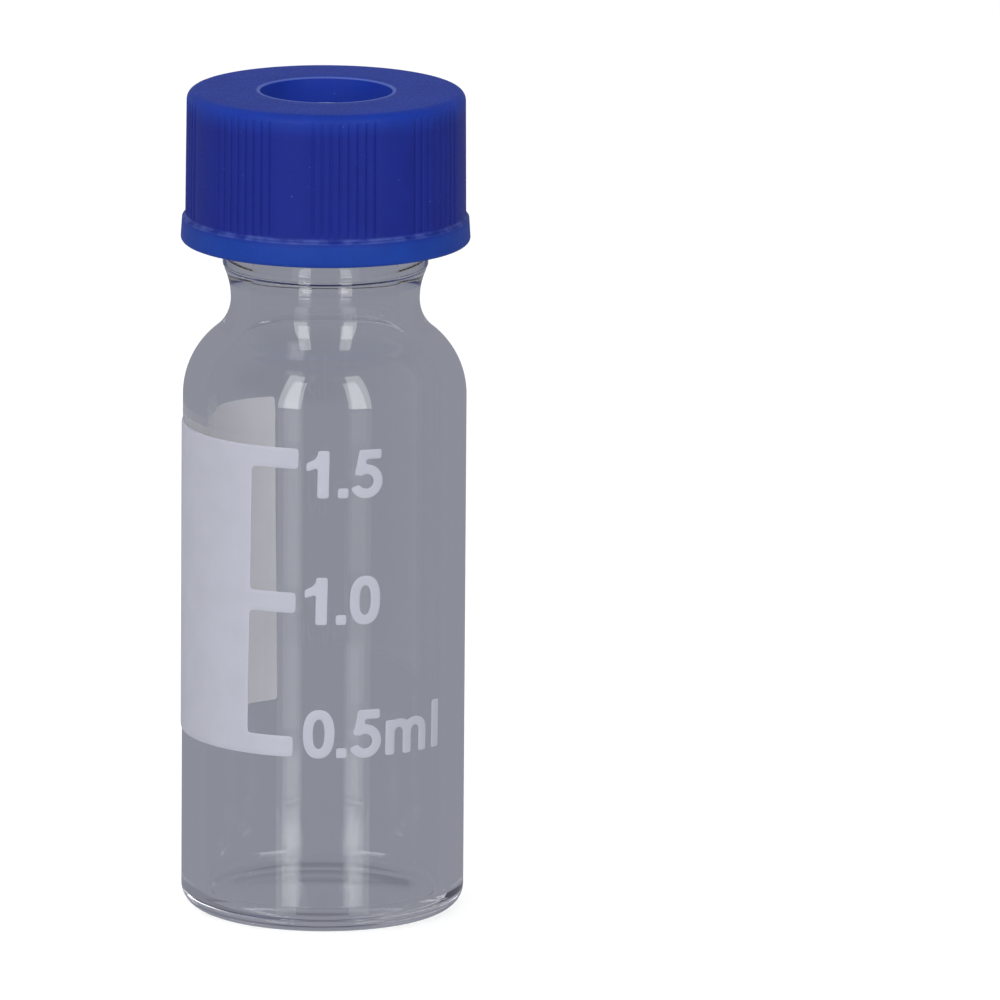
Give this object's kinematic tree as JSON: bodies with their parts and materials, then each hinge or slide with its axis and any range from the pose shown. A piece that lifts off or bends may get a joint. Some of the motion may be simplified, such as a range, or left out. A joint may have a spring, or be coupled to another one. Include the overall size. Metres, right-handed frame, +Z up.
{
  "type": "glass sample vial",
  "caption": "Small clear glass vial with a threaded neck, an open-top ribbed screw cap, a sealing septum and a white write-on patch with graduation bars.",
  "frame": {"origin": "centre of the base, on the surface that the vial stands on", "axes": "+Z up the vial's axis to the cap; -Y is the front, with the graduation bars and numerals; the write-on patch is on the -X side"},
  "size_m": [0.0118, 0.0118, 0.034],
  "materials": {
    "clear_glass": "polished clear",
    "white_enamel": "fired satin",
    "septum_silicone": "soft matte",
    "blue_plastic": "moulded satin"
  },
  "bodies": {
    "vial": {"glass_vial": "clear_glass", "write_on_patch": "white_enamel"},
    "seal": {"septum": "septum_silicone"},
    "cap": {"screw_cap": "blue_plastic"}
  },
  "joints": [
    {"name": "cap_lift", "type": "slide", "parent": "vial", "child": "seal", "axis": [0, 0, 1], "range_m": [0, 0.0054]},
    {"name": "cap_turn", "type": "hinge", "parent": "seal", "child": "cap", "pos_m": [0, 0, 0.033], "axis": [0, 0, 1], "range_deg": [0, 1080]}
  ],
  "couplings": [
    {"joint": "cap_lift", "follows": "cap_turn", "m_per_rad": 0.00028647}
  ]
}
